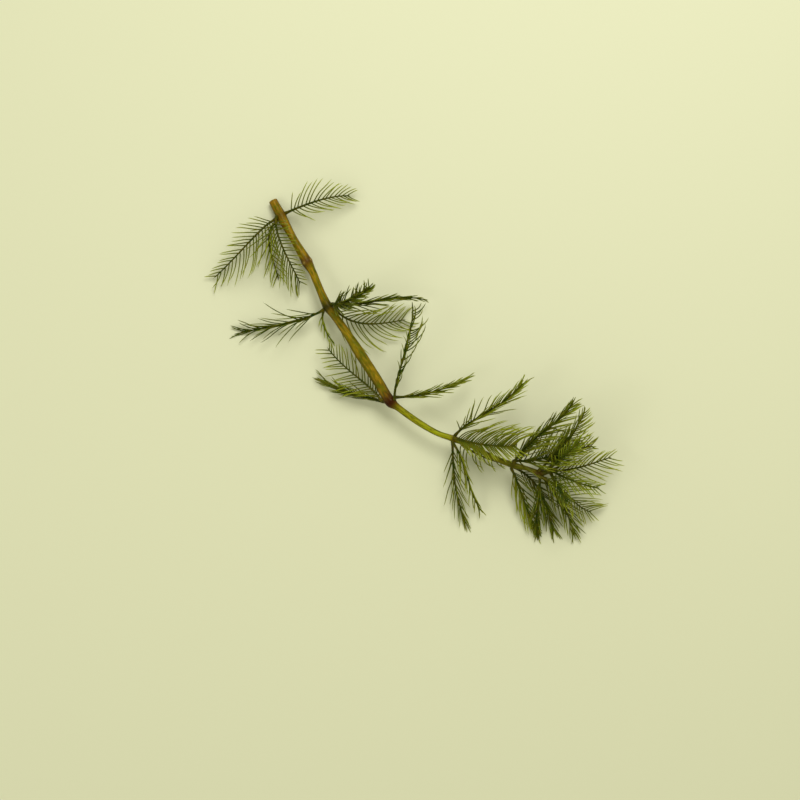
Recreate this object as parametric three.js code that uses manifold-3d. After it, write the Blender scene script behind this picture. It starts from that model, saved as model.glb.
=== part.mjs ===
// Eurasian watermilfoil: the end of a shoot, cut off and laid on a flat surface.
// A jointed stem carries whorls of feathery leaves; each leaf is a midrib with thread-like leaflets on both sides.
// Units are millimetres and +Z is up. The shoot's base is at the upper left seen from above, its tip at the lower right.
import * as THREE from "three";
import { mergeVertices } from "three/addons/utils/BufferGeometryUtils.js";
import Module from "manifold-3d";

const wasm = await Module();
wasm.setup();

// Places are read off the reference view, which looks straight down: column and row in its pixels, and the height
// above the floor in millimetres.
const pixelSize = 0.3; // what a pixel covers on the floor
const viewDistance = 600; // from the eye to the floor
const viewColumn = 400; // the pixel straight under the eye
const viewRow = 400;
const originColumn = 414.8;
const originRow = 363;

// Sizes of the threads
const midribBase = 0.4; // radius where it leaves the stem
const midribTip = 0.22;
const leafletShareOfMidrib = 0.55; // a leaflet's radius at its base, as a share of the midrib's
const gap = 0.3; // air between two pieces
const nodeGap = 0.45; // air between the stem and the end of a midrib
const leafletPairs = 12;
const midribSides = 4;
const midribSteps = 5;
const leafletSides = 3;
const straightest = 24; // a leaflet that bends less than this, in degrees, is straight
const finest = 0.04; // detail under this size is left off a leaf
const sampleStep = 0.4; // spacing of the points that are kept clear of each other

const degrees = Math.PI / 180;
const up = new THREE.Vector3(0, 0, 1);

// What stands higher is nearer to the eye, so it seems further from the middle of the view than it is.
function place([column, row, height]) {
  const nearness = 1 - height / viewDistance;
  const x = viewColumn - originColumn + (column - viewColumn) * nearness;
  const y = originRow - viewRow + (viewRow - row) * nearness;
  return new THREE.Vector3(x * pixelSize, y * pixelSize, height);
}

// The stem from its cut end to its tip: column, row, height of the centre line, radius, and the whorl that a node
// carries. The node without a whorl has lost its leaves.
const stemLine = [
  [273, 201, 1.3, 1.3],
  [281, 216, 2.3, 1.5, "whorl1"],
  [293, 238, 3.4, 1.15],
  [307, 262, 4.3, 1.55],
  [313, 273, 4.7, 1.15],
  [320, 290, 5.2, 1.15],
  [328, 307, 5.7, 1.4, "whorl2"],
  [335.5, 317, 6.0, 1.2],
  [348, 335, 6.3, 1.3],
  [359, 352, 6.5, 1.6],
  [376.5, 379, 6.6, 1.55],
  [390.5, 401.5, 6.6, 1.6, "whorl3"],
  [398.5, 408, 6.6, 1.0],
  [418, 422, 6.7, 0.97],
  [437, 433, 6.8, 0.86],
  [454, 439, 6.9, 0.92, "whorl4"],
  [470, 445, 7.0, 0.76],
  [490, 456, 7.2, 0.78],
  [513, 465, 7.4, 0.92, "whorl5"],
  [527, 468.5, 7.8, 0.7],
  [540, 473, 8.4, 0.88, "whorl6"],
  [550, 471, 9.6, 0.66, "tip"],
  [559, 467, 11.2, 0.33],
];
const stemSides = 8;
const stemStepsPerSpan = 2;

// One side of a leaf. tilt lifts the side out of the flat, opening is the leaflets' angle to the midrib at its
// base and at its tip, length is the longest leaflet's, and curl is how far a leaflet bends forward; all in
// degrees and millimetres.
function side(tilt, openBase, openTip, length, curl) {
  return { tilt, openBase, openTip, length, curl };
}

// Each leaf: where it leaves its node, as an angle round the stem from the top over the left; three points of its
// midrib, a third and two thirds of the way out and at the tip; its left and right sides when looking from the
// stem to the tip; the number of leaflet pairs; and, for a leaf that isn't shaped like most, the length of its
// leaflets at its base, as a share of the longest, how much shorter they get at its tip, and how far short of its
// node it starts.
function leaf(around, route, left, right, pairs = leafletPairs, { fullness = 0.55, taper = 0.62, back = 0 } = {}) {
  return { around, route, left, right, pairs, fullness, taper, back };
}

const whorls = {
  whorl1: [
    leaf(262, [[259, 232, 5.5], [238, 254, 4.5], [213, 279, 1.5]], side(12, 58, 42, 13, 24), side(12, 50, 40, 8, 10)),
    leaf(315, [[279, 238, 6.5], [289.5, 262, 6.4], [300.5, 284, 2.5]], side(30, 72, 60, 6, 4), side(10, 46, 28, 13, 16)),
    leaf(205, [[269, 236, 2.2], [272, 257, 1.4], [279, 281, 0.4]], side(12, 44, 34, 9, 10), side(12, 44, 34, 9, 10), 9),
    leaf(80, [[305, 205, 6], [328, 198, 5.5], [351, 196, 2.5]], side(20, 55, 38, 9, 22), side(20, 55, 38, 9, 22), 11),
  ],
  whorl2: [
    leaf(262, [[301, 319.5, 5], [271, 327, 3], [241, 331.5, 0.4]], side(20, 17, 16, 12.5, -8), side(30, 30, 24, 12, -8)),
    leaf(50, [[341, 303, 11], [356, 297, 16], [370, 288, 19.5]], side(26, 26, 50, 7.5, 10), side(26, 46, 18, 7, 24), leafletPairs, { fullness: 0.85 }),
    leaf(88, [[364, 303, 7.5], [394, 298, 7], [428, 300.5, 3.5]], side(60, 22, 14, 7.5, 5), side(20, 24, 14, 9, 2), leafletPairs, { taper: 0.85 }),
    leaf(140, [[354, 321.5, 3.6], [380, 323.5, 2.4], [406, 319.5, 0.8]], side(10, 54, 40, 11.5, 16), side(4, 56, 46, 12.5, 40)),
    leaf(212, [[322.5, 317, 3.4], [325.5, 330, 2], [335, 344, 0.6]], side(30, 16, 12, 3.5, 5), side(10, 24, 16, 4.5, 12), 7),
  ],
  whorl3: [
    leaf(272, [[368, 386, 5.8], [347, 368.5, 5], [327, 347, 3.6]], side(4, 50, 44, 9.5, -8), side(-18, 52, 40, 9.5, 8), leafletPairs, { back: 2.2 }),
    leaf(232, [[363, 397, 3.4], [344, 391, 2.4], [326, 382.5, 1.2]], side(50, 14, 20, 7.6, 4), side(36, 19, 30, 7.9, 8), leafletPairs, { taper: 0.35, back: 1.2 }),
    leaf(50, [[399, 373, 11.5], [408, 341, 13], [413, 309, 9.5]], side(62, 18, 14, 7, 4), side(25, 24, 84, 10.5, 72), leafletPairs, { fullness: 0.05, taper: 0.6 }),
    leaf(100, [[422, 394.5, 8.5], [445, 388, 9], [466, 379, 7]], side(50, 26, 26, 7.5, 6), side(55, 22, 26, 7.5, 4), leafletPairs, { taper: 0.45 }),
  ],
  whorl4: [
    leaf(70, [[476, 419, 12.5], [501, 403.5, 14], [523, 383, 12.5]], side(36, 44, 26, 9, 4), side(28, 16, 14, 11, 2)),
    leaf(245, [[453.5, 469, 4.2], [457.5, 497, 2.5], [466, 524, 0.3]], side(20, 24, 16, 9.5, 4), side(16, 28, 20, 10, 2)),
    leaf(12, [[477, 443.5, 11.5], [497, 446, 14], [516, 446, 15]], side(10, 56, 48, 13, 38), side(14, 46, 40, 7.5, 6), leafletPairs, { taper: 0.35 }),
    leaf(300, [[463, 463, 7.4], [470.5, 487, 5], [481.5, 512, 2]], side(55, 14, 12, 7, 4), side(14, 26, 18, 8.5, 4)),
    leaf(170, [[470, 450, 3.4], [486, 458, 2.2], [504, 464, 1.2]], side(5, 34, 30, 5, 10), side(-8, 78, 60, 7.5, 64), 9, { taper: 0.7 }),
  ],
  whorl5: [
    leaf(30, [[531, 442, 13], [552, 425, 16], [573, 404, 15]], side(40, 26, 22, 9, 6), side(22, 30, 14, 12, -6), leafletPairs, { fullness: 1, taper: 0.7 }),
    leaf(255, [[519, 487, 4.5], [527, 509, 2.5], [537, 531, 0.3]], side(20, 38, 22, 9, 10), side(10, 34, 16, 11, 24)),
    leaf(200, [[536, 485, 3], [547, 508, 1.8], [554, 532, 0.3]], side(15, 38, 24, 10, 12), side(15, 34, 20, 10, 12), 10),
    leaf(85, [[540, 459, 9.8], [565, 452, 10.8], [593, 446, 8.8]], side(16, 50, 36, 13, -4), side(12, 38, 36, 9, 20), leafletPairs, { fullness: 1, taper: 0.75 }),
  ],
  whorl6: [
    leaf(50, [[557, 453, 14.5], [572, 435, 18], [585, 411, 18.5]], side(26, 20, 16, 12, 2), side(18, 52, 36, 12, 24), leafletPairs, { fullness: 0.9, taper: 0.85 }),
    leaf(125, [[566, 470, 7], [589, 464.5, 8], [612, 457, 6]], side(18, 46, 30, 9, 18), side(12, 50, 36, 12, 12)),
    leaf(310, [[562, 490, 9], [577, 504, 6], [592, 512, 3]], side(10, 50, 42, 11, 16), side(10, 42, 30, 8, 10), leafletPairs, { taper: 0.45 }),
    leaf(258, [[539, 495, 6.5], [537, 514, 4], [537, 534, 1.2]], side(38, 26, 16, 8, 8), side(38, 28, 18, 8, 8)),
    leaf(200, [[556, 495, 5], [567, 514, 3.2], [574, 534, 1.2]], side(20, 34, 22, 10, 14), side(20, 34, 22, 9.5, 10)),
  ],
  tip: [
    leaf(35, [[562, 458, 16], [572, 449, 19], [581, 440, 20.5]], side(20, 44, 30, 6, 10), side(20, 44, 30, 6, 10), 9),
    leaf(180, [[564, 477, 12], [582, 484, 13.5], [600, 488, 12.5]], side(20, 44, 30, 7, 10), side(20, 44, 30, 7, 10), 10),
    leaf(265, [[555, 482, 12.5], [561, 492, 14], [567, 502, 14]], side(20, 40, 30, 6, 10), side(20, 40, 30, 6, 10), 9),
    leaf(90, [[556, 460, 11.5], [561, 449, 12.5], [566, 438, 12.5]], side(20, 38, 26, 6, 8), side(20, 38, 26, 6, 8), 9),
  ],
};

// A steady number from -1 to 1 for each pair of whole numbers
function vary(first, second) {
  const wave = Math.sin(first * 12.9898 + second * 78.233) * 43758.5453;
  return 2 * (wave - Math.floor(wave)) - 1;
}

function mix(from, to, share) {
  return from + (to - from) * share;
}

// The curve through four points at equal steps of t
function throughFour([a, b, c, d], t) {
  return new THREE.Vector3()
    .addScaledVector(a, ((1 - 3 * t) * (2 - 3 * t) * (1 - t)) / 2)
    .addScaledVector(b, (9 * t * (2 - 3 * t) * (1 - t)) / 2)
    .addScaledVector(c, (9 * t * (3 * t - 1) * (1 - t)) / 2)
    .addScaledVector(d, (t * (3 * t - 1) * (3 * t - 2)) / 2);
}

// Forward, level and upright directions of a path at t
function frameAt(path, t) {
  const step = 0.01;
  const forward = path(Math.min(1, t + step)).sub(path(Math.max(0, t - step))).normalize();
  const level = up.clone().cross(forward).normalize();
  const upright = forward.clone().cross(level);
  return { forward, level, upright };
}

// Bends a unit cylinder or cone that stands along Y onto a path, with its own radius at each place.
function bendAlong(geometry, path, radiusAt, frames = (t) => frameAt(path, t)) {
  const position = geometry.getAttribute("position");
  const point = new THREE.Vector3();
  for (let i = 0; i < position.count; i += 1) {
    point.fromBufferAttribute(position, i);
    const t = point.y + 0.5;
    const { level, upright } = frames(t);
    const radius = radiusAt(t);
    const moved = path(t)
      .addScaledVector(level, -point.x * radius)
      .addScaledVector(upright, point.z * radius);
    position.setXYZ(i, moved.x, moved.y, moved.z);
  }
  return geometry;
}

function solidOf(geometry) {
  geometry.deleteAttribute("normal");
  geometry.deleteAttribute("uv");
  const merged = mergeVertices(geometry, 1e-5);
  const solid = new wasm.Manifold(
    new wasm.Mesh({
      numProp: 3,
      vertProperties: new Float32Array(merged.attributes.position.array),
      triVerts: new Uint32Array(merged.index.array),
    }),
  );
  return solid;
}

function geometryOf(solid) {
  const mesh = solid.getMesh();
  return new THREE.BufferGeometry()
    .setAttribute("position", new THREE.BufferAttribute(mesh.vertProperties, 3))
    .setIndex(new THREE.BufferAttribute(mesh.triVerts, 1));
}

// The stem: one curve through stemLine, its radius following the fourth numbers.
const stemCurve = new THREE.CatmullRomCurve3(stemLine.map(place), false, "centripetal");

function stemRadius(t) {
  const along = t * (stemLine.length - 1);
  const index = Math.min(stemLine.length - 2, Math.floor(along));
  return mix(stemLine[index][3], stemLine[index + 1][3], along - index);
}

function makeStem() {
  const steps = (stemLine.length - 1) * stemStepsPerSpan;
  const rod = new THREE.CylinderGeometry(1, 1, 1, stemSides, steps);
  return bendAlong(rod, (t) => stemCurve.getPoint(t), stemRadius);
}

// A midrib starts just off the side of its node.
function midribPath(whorl, { around, route, back }) {
  const index = stemLine.findIndex((point) => point[4] === whorl);
  const { forward, level, upright } = frameAt((t) => stemCurve.getPoint(t), index / (stemLine.length - 1));
  const reach = stemLine[index][3] + nodeGap;
  const start = place(stemLine[index])
    .addScaledVector(forward, -back)
    .addScaledVector(upright, reach * Math.cos(around * degrees))
    .addScaledVector(level, reach * Math.sin(around * degrees));
  const [third, twoThirds, tip] = route.map(place);
  return (t) => throughFour([start, third, twoThirds, tip], t);
}

function midribRadius(t) {
  return mix(midribBase, midribTip, t);
}

// The middle of the midrib's straight steps, where a leaflet starts
function onMidrib(path, t) {
  const along = t * midribSteps;
  const step = Math.min(midribSteps - 1, Math.floor(along));
  return path(step / midribSteps).lerp(path((step + 1) / midribSteps), along - step);
}

// Leaflets are longest a quarter of the way out, and shorten towards both ends.
function leafletShare(t, { fullness, taper }) {
  const rise = Math.min(1, fullness + 2 * t);
  return rise * (1 - taper * t * t);
}

// One leaflet: an arc that leaves the midrib in the plane of its side and bends forward.
function leafletArc(path, t, hand, { tilt, openBase, openTip, length, curl }, outline, changes) {
  const { forward, level, upright } = frameAt(path, t);
  const lift = (tilt + changes.tilt) * degrees;
  const sideways = level.multiplyScalar(hand * Math.cos(lift)).addScaledVector(upright, Math.sin(lift));
  const opening = (mix(openBase, openTip, t) + changes.opening) * degrees;
  const bend = (curl + changes.curl) * degrees;
  const reach = length * leafletShare(t, outline) * changes.length;
  const start = onMidrib(path, t);
  const flat = forward.clone().cross(sideways).normalize();
  const turn = Math.abs(bend) < 0.01 ? 0.01 : bend;
  const at = (v) =>
    start
      .clone()
      .addScaledVector(forward, (reach * (Math.sin(opening) - Math.sin(opening - turn * v))) / turn)
      .addScaledVector(sideways, (reach * (Math.cos(opening - turn * v) - Math.cos(opening))) / turn);
  const frames = (v) => {
    const heading = forward
      .clone()
      .multiplyScalar(Math.cos(opening - turn * v))
      .addScaledVector(sideways, Math.sin(opening - turn * v));
    return { level: flat, upright: heading.cross(flat) };
  };
  return { at, frames, reach };
}

// Points along a thread, with its radius, that other leaves keep clear of
function samples(path, length, radiusAt, owner) {
  const count = Math.max(2, Math.ceil(length / sampleStep));
  return Array.from({ length: count + 1 }, (unused, i) => ({
    point: path(i / count),
    radius: radiusAt(i / count),
    owner,
  }));
}

function isClear(own, obstacles) {
  return own.every(
    ({ point, radius, owner }) =>
      point.z >= radius &&
      obstacles.every(
        (other) => other.owner === owner || point.distanceTo(other.point) >= radius + other.radius + gap,
      ),
  );
}

// Turns tried in order for a leaflet that would touch a neighbour, then shorter lengths
const turns = [0, 10, -10, 20, -20, 30, -30, 42, -42, 55, -55];
const lengths = [1, 0.7, 0.45];

function leafletRadius(t) {
  return leafletShareOfMidrib * midribRadius(t);
}

function placeLeaflet(path, t, hand, shape, outline, seed, owner, obstacles) {
  const reach = shape.length + 2;
  const root = path(t);
  const near = obstacles.filter((other) => other.point.distanceTo(root) < reach + other.radius);
  for (const share of lengths) {
    for (const turn of turns) {
      const arc = leafletArc(path, t, hand, shape, outline, {
        tilt: turn + 7 * vary(seed, 1),
        opening: 4 * vary(seed, 2),
        curl: 6 * vary(seed, 3),
        length: share * (1 + 0.08 * vary(seed, 4)),
      });
      const own = samples(arc.at, arc.reach, (v) => leafletRadius(t) * (1 - v), owner);
      if (isClear(own, near)) return { arc, own };
    }
  }
  return null;
}

function makeLeaf({ name, path, left, right, pairs, ...outline }, number, obstacles) {
  const rod = new THREE.CylinderGeometry(1, 1, 1, midribSides, midribSteps, false, Math.PI / 4);
  const solids = [solidOf(bendAlong(rod, path, midribRadius))];
  for (let pair = 0; pair < pairs; pair += 1) {
    [left, right].forEach((shape, half) => {
      const seed = number * 100 + pair * 2 + half;
      const t = (pair + 1.6 + 0.3 * half + 0.15 * vary(seed, 5)) / (pairs + 1.7);
      const placed = placeLeaflet(path, t, half ? -1 : 1, shape, outline, seed, name, obstacles);
      if (!placed) return;
      obstacles.push(...placed.own);
      const steps = Math.abs(shape.curl) > straightest ? 2 : 1;
      const spike = new THREE.ConeGeometry(leafletRadius(t), 1, leafletSides, steps);
      solids.push(solidOf(bendAlong(spike, placed.arc.at, () => 1, placed.arc.frames)));
    });
  }
  const joined = wasm.Manifold.union(solids).asOriginal().simplify(finest);
  const [whole] = joined.decompose().sort((a, b) => b.volume() - a.volume());
  return geometryOf(whole);
}

const stemMaterial = new THREE.MeshStandardMaterial({ color: 0x7d7a1e, roughness: 0.45, metalness: 0 });
const leafMaterial = new THREE.MeshStandardMaterial({ color: 0x4a5a1e, roughness: 0.5, metalness: 0 });

const plant = new THREE.Group();
const stem = new THREE.Mesh(makeStem(), stemMaterial);
stem.name = "stem";
plant.add(stem);

const leaves = Object.entries(whorls).flatMap(([whorl, members]) =>
  members.map((member, i) => ({ name: `${whorl}_leaf${i + 1}`, path: midribPath(whorl, member), ...member })),
);
const obstacles = samples((t) => stemCurve.getPoint(t), stemCurve.getLength(), stemRadius, "stem");
for (const { name, path } of leaves) {
  obstacles.push(...samples(path, path(0).distanceTo(path(1)) * 1.1, midribRadius, name));
}
leaves.forEach((member, number) => {
  const mesh = new THREE.Mesh(makeLeaf(member, number + 1, obstacles), leafMaterial);
  mesh.name = member.name;
  plant.add(mesh);
});

export default plant;
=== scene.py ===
import math

import bmesh
import bpy
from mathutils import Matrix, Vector, kdtree, noise


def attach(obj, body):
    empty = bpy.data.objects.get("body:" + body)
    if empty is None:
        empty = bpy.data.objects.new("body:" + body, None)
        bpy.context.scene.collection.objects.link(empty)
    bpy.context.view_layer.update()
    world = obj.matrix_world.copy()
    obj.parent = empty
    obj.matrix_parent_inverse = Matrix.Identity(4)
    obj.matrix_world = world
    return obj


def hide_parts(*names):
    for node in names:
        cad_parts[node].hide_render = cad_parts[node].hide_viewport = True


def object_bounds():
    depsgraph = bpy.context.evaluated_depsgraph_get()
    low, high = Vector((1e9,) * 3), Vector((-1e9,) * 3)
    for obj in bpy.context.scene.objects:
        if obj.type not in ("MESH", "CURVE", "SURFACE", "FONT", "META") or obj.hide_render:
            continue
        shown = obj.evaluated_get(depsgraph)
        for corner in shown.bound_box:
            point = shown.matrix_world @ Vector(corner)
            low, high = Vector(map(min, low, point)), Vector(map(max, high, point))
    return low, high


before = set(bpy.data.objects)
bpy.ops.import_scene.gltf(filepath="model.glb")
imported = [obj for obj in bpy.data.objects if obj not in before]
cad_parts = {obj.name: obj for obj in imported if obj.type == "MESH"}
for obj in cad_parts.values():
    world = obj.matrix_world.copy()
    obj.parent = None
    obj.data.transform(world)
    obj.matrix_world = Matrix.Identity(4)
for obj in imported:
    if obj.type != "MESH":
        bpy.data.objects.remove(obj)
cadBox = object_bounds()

# Eurasian watermilfoil, a cut shoot lying on its side. The solids give the places; this gives the threads
# their fine shape, the stem its nodes and cut face, and everything its wet green finish. Metres throughout,
# unless a note says mm.
mm = 0.001
up = Vector((0, 0, 1))
cadTop = cadBox[1][2]

# What each throw of the dice below decides about a leaflet
draws = {"tilt": 1, "opening": 2, "bend": 3, "length": 4, "place": 5, "sway": 6, "wave": 7, "beat": 8,
         "hug": 9, "bristle": 10, "dark": 11}
dice = {"first": 12.9898, "second": 78.233, "stretch": 43758.5453}


def vary(first, second):  # a steady number from -1 to 1 for each pair
    wave = math.sin(first * dice["first"] + second * dice["second"]) * dice["stretch"]
    return 2 * (wave - math.floor(wave)) - 1


def mix(low, high, share):
    return low + (high - low) * share


def smooth(share):
    share = min(1.0, max(0.0, share))
    return share * share * (3 - 2 * share)


def bell(away, width):
    return math.exp(-((away / width) ** 2))


def tone(red, green, blue):  # a colour as a paint program shows it, 0 to 255, on the sRGB curve
    linear = []
    for level in (red, green, blue):
        share = level / 255
        linear.append(share / 12.92 if level <= 10 else ((share + 0.055) / 1.055) ** 2.4)
    return (*linear, 1)


# The camera looks straight down. Places are a column and a row of its picture, in pixels, and a height in mm.
view = {
    "pixel": 0.3 * mm,  # what a pixel covers on the floor
    "distance": 0.6,  # eye to floor
    "middle": (400, 400),
    "origin": (414.8, 363),  # the frame's zero
    "sensor": 36,  # in mm, as the lens
    "lens": 90,
    "nearest": 0.01,
}


def place(column, row, height):  # what stands higher seems further from the middle than it is
    nearness = 1 - height * mm / view["distance"]
    x = view["middle"][0] - view["origin"][0] + (column - view["middle"][0]) * nearness
    y = view["origin"][1] - view["middle"][1] + (view["middle"][1] - row) * nearness
    return Vector((x * view["pixel"], y * view["pixel"], height * mm))


def makeCamera():
    lens = bpy.data.cameras.new("camera")
    lens.sensor_width = view["sensor"]
    lens.lens = view["lens"]
    lens.clip_start = view["nearest"]
    lens.dof.use_dof = False
    camera = bpy.data.objects.new("camera", lens)
    bpy.context.scene.collection.objects.link(camera)
    under = place(*view["middle"], 0)
    camera.location = (under.x, under.y, view["distance"])
    bpy.context.scene.camera = camera


# Floor, lamps and sky
studio = {
    "floorTone": (202, 202, 167),
    "floorRoughness": 0.6,
    "floorSize": 6,
    "skyTone": (238, 239, 222),
    "skyStrength": 0.78,
    "lamps": (  # where it stands, its size, its power in watts
        ((0.1, 0.36, 0.56), 0.34, 2.8),
        ((-0.5, -0.25, 0.6), 0.3, 0.8),
    ),
}


def makeFloor():
    bm = bmesh.new()
    bmesh.ops.create_grid(bm, x_segments=1, y_segments=1, size=studio["floorSize"] / 2)
    floorMesh = saved(bm, "floor")
    floor = bpy.data.objects.new("floor", floorMesh)
    bpy.context.scene.collection.objects.link(floor)
    paint = bpy.data.materials.new("paleFloor")
    paint.use_nodes = True
    shader = paint.node_tree.nodes["Principled BSDF"]
    shader.inputs["Base Color"].default_value = tone(*studio["floorTone"])
    shader.inputs["Roughness"].default_value = studio["floorRoughness"]
    floorMesh.materials.append(paint)


def makeLights():
    for number, (where, size, power) in enumerate(studio["lamps"]):
        lamp = bpy.data.lights.new(f"softLamp{number + 1}", "AREA")
        lamp.shape = "DISK"
        lamp.size = size
        lamp.energy = power
        holder = bpy.data.objects.new(lamp.name, lamp)
        holder.location = where
        holder.rotation_euler = (Vector((0, 0, 0)) - Vector(where)).to_track_quat("-Z", "Y").to_euler()
        bpy.context.scene.collection.objects.link(holder)
    world = bpy.data.worlds.new("softSky")
    world.use_nodes = True
    sky = world.node_tree.nodes["Background"]
    sky.inputs["Color"].default_value = tone(*studio["skyTone"])
    sky.inputs["Strength"].default_value = studio["skyStrength"]
    bpy.context.scene.world = world
    bpy.context.scene.view_settings.view_transform = "Standard"


# Shader nodes. A socket is given a number, a colour or another node's output.
def setSockets(tree, node, sockets):
    for key, value in sockets.items():
        if isinstance(value, bpy.types.NodeSocket):
            tree.links.new(value, node.inputs[key])
        else:
            node.inputs[key].default_value = value


def wire(tree, kind, sockets=None, **settings):
    node = tree.nodes.new(kind)
    for key, value in settings.items():
        setattr(node, key, value)
    setSockets(tree, node, sockets or {})
    return node


def calculate(tree, operation, *values, clamp=False):
    sockets = dict(enumerate(values))
    return wire(tree, "ShaderNodeMath", sockets, operation=operation, use_clamp=clamp).outputs[0]


def rescale(tree, value, start, end, low=0.0, high=1.0):
    return wire(tree, "ShaderNodeMapRange", {"Value": value, "From Min": start, "From Max": end,
                                             "To Min": low, "To Max": high}).outputs[0]


def blendColours(tree, factor, first, second):
    return wire(tree, "ShaderNodeMix", {"Factor": factor, 6: first, 7: second}, data_type="RGBA").outputs[2]


def colourRamp(tree, value, stops):
    node = wire(tree, "ShaderNodeValToRGB", {"Fac": value})
    elements = node.color_ramp.elements
    elements[0].position, elements[0].color = stops[0]
    elements[1].position, elements[1].color = stops[-1]
    for position, colour in stops[1:-1]:
        elements.new(position).color = colour
    return node.outputs["Color"]


def ownValue(tree, name):
    return wire(tree, "ShaderNodeAttribute", attribute_name=name).outputs["Fac"]


def newGroup(name, inputs, outputs):
    tree = bpy.data.node_groups.new(name, "ShaderNodeTree")
    for label, kind, value in inputs:
        socket = tree.interface.new_socket(label, in_out="INPUT", socket_type=kind)
        socket.default_value = value
    for label, kind in outputs:
        tree.interface.new_socket(label, in_out="OUTPUT", socket_type=kind)
    return tree, tree.nodes.new("NodeGroupInput").outputs, tree.nodes.new("NodeGroupOutput").inputs


def useGroup(tree, group, sockets):
    node = tree.nodes.new("ShaderNodeGroup")
    node.node_tree = group
    setSockets(tree, node, sockets)
    return node.outputs


mottleLook = {"detail": 4.0, "roughness": 0.6, "patchFrom": 0.42, "patchFull": 0.66}


def makeMottle():  # soft patches of a second colour
    tree, given, wanted = newGroup(
        "tissueMottle",
        (("Base", "NodeSocketColor", (0.1, 0.1, 0.1, 1)), ("Patch", "NodeSocketColor", (0.1, 0.1, 0.1, 1)),
         ("Amount", "NodeSocketFloat", 0.5), ("Scale", "NodeSocketFloat", 900.0)),
        (("Color", "NodeSocketColor"),),
    )
    spot = wire(tree, "ShaderNodeTexCoord").outputs["Object"]
    cloud = wire(tree, "ShaderNodeTexNoise", {
        "Vector": spot, "Scale": given["Scale"],
        "Detail": mottleLook["detail"], "Roughness": mottleLook["roughness"],
    }).outputs["Fac"]
    patches = rescale(tree, cloud, mottleLook["patchFrom"], mottleLook["patchFull"])
    mask = calculate(tree, "MULTIPLY", patches, given["Amount"])
    tree.links.new(blendColours(tree, mask, given["Base"], given["Patch"]), wanted["Color"])
    return tree


wetLook = {"filmDetail": 3.0, "filmFrom": 0.35, "filmFull": 0.65, "cellsPerFilm": 3.5, "cellHeight": 0.35}


def makeWetSkin():  # a wet surface: films of water that shine, drier cells between them, and their relief
    tree, given, wanted = newGroup(
        "wetSkin",
        (("Scale", "NodeSocketFloat", 1500.0), ("Wet", "NodeSocketFloat", 0.2),
         ("Dry", "NodeSocketFloat", 0.5)),
        (("Roughness", "NodeSocketFloat"), ("Height", "NodeSocketFloat")),
    )
    spot = wire(tree, "ShaderNodeTexCoord").outputs["Object"]
    film = wire(tree, "ShaderNodeTexNoise", {
        "Vector": spot, "Scale": given["Scale"], "Detail": wetLook["filmDetail"]}).outputs["Fac"]
    shine = rescale(tree, film, wetLook["filmFrom"], wetLook["filmFull"], given["Wet"], given["Dry"])
    finer = calculate(tree, "MULTIPLY", given["Scale"], wetLook["cellsPerFilm"])
    cells = wire(tree, "ShaderNodeTexVoronoi", {"Vector": spot, "Scale": finer}, feature="SMOOTH_F1")
    relief = calculate(tree, "MULTIPLY_ADD", cells.outputs["Distance"], wetLook["cellHeight"], film)
    tree.links.new(shine, wanted["Roughness"])
    tree.links.new(relief, wanted["Height"])
    return tree


mottle = makeMottle()
wetSkin = makeWetSkin()
freshTissue = {  # alike on the stem and the leaves
    "IOR": 1.36,
    "Specular Tint": (1.0, 0.95, 0.4, 1),
    "Coat Roughness": 0.15,
    "Coat IOR": 1.33,
    "Subsurface Radius": (0.6, 1.0, 0.25),
}


def finishShader(tree, colour, skin, finish):
    look = useGroup(tree, wetSkin, skin)
    relief = wire(tree, "ShaderNodeBump", {"Height": look["Height"], "Strength": finish["relief"],
                                           "Distance": finish["reliefDepth"]})
    shader = tree.nodes["Principled BSDF"]
    setSockets(tree, shader, freshTissue)
    setSockets(tree, shader, {
        "Base Color": colour,
        "Roughness": look["Roughness"],
        "Specular IOR Level": finish["gloss"],
        "Coat Weight": finish["water"],
        "Subsurface Weight": finish["glow"],
        "Subsurface Scale": finish["glowDepth"],
        "Normal": relief.outputs["Normal"],
    })


# Tubes: a straight one grows ring by ring out of a circle, and is then bent onto its path.
def straightTube(sides, steps, pointed):
    bm = bmesh.new()
    bmesh.ops.create_circle(bm, segments=sides, radius=1)
    ring = bm.edges[:]
    foot = bm.verts[:]
    for step in range(steps):
        grown = bmesh.ops.extrude_edge_only(bm, edges=ring)["geom"]
        rim = [g for g in grown if isinstance(g, bmesh.types.BMVert)]
        bmesh.ops.translate(bm, verts=rim, vec=(0, 0, 1 / steps))
        ring = [g for g in grown if isinstance(g, bmesh.types.BMEdge) and all(v in rim for v in g.verts)]
    if pointed:
        bmesh.ops.pointmerge(bm, verts=rim, merge_co=(0, 0, 1))
    else:
        bmesh.ops.contextual_create(bm, geom=rim)
    bmesh.ops.contextual_create(bm, geom=foot)
    bmesh.ops.recalc_face_normals(bm, faces=bm.faces)
    return bm


def bendOnto(verts, path, frames, radius):
    for vert in verts:
        t = min(1.0, max(0.0, vert.co.z))
        across, over = frames(t)
        thick = radius(t)
        vert.co = path(t) + across * (vert.co.x * thick) + over * (vert.co.y * thick)


def frameAt(path, t, nearby=0.01):  # forward along the path, level to its left, and upright from it
    forward = (path(min(1, t + nearby)) - path(max(0, t - nearby))).normalized()
    level = up.cross(forward).normalized()
    return forward, level, forward.cross(level)


def saved(bm, name):  # extruding leaves the faces in a new order each time, so they are sorted
    bm.verts.index_update()
    count = len(bm.verts)

    def rank(face):
        lowest, second, *others = sorted(vert.index for vert in face.verts)
        return (lowest * count + second) * count + others[-1]

    bm.faces.sort(key=rank)
    mesh = bpy.data.meshes.new(name)
    bm.to_mesh(mesh)
    bm.free()
    return mesh


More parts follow.
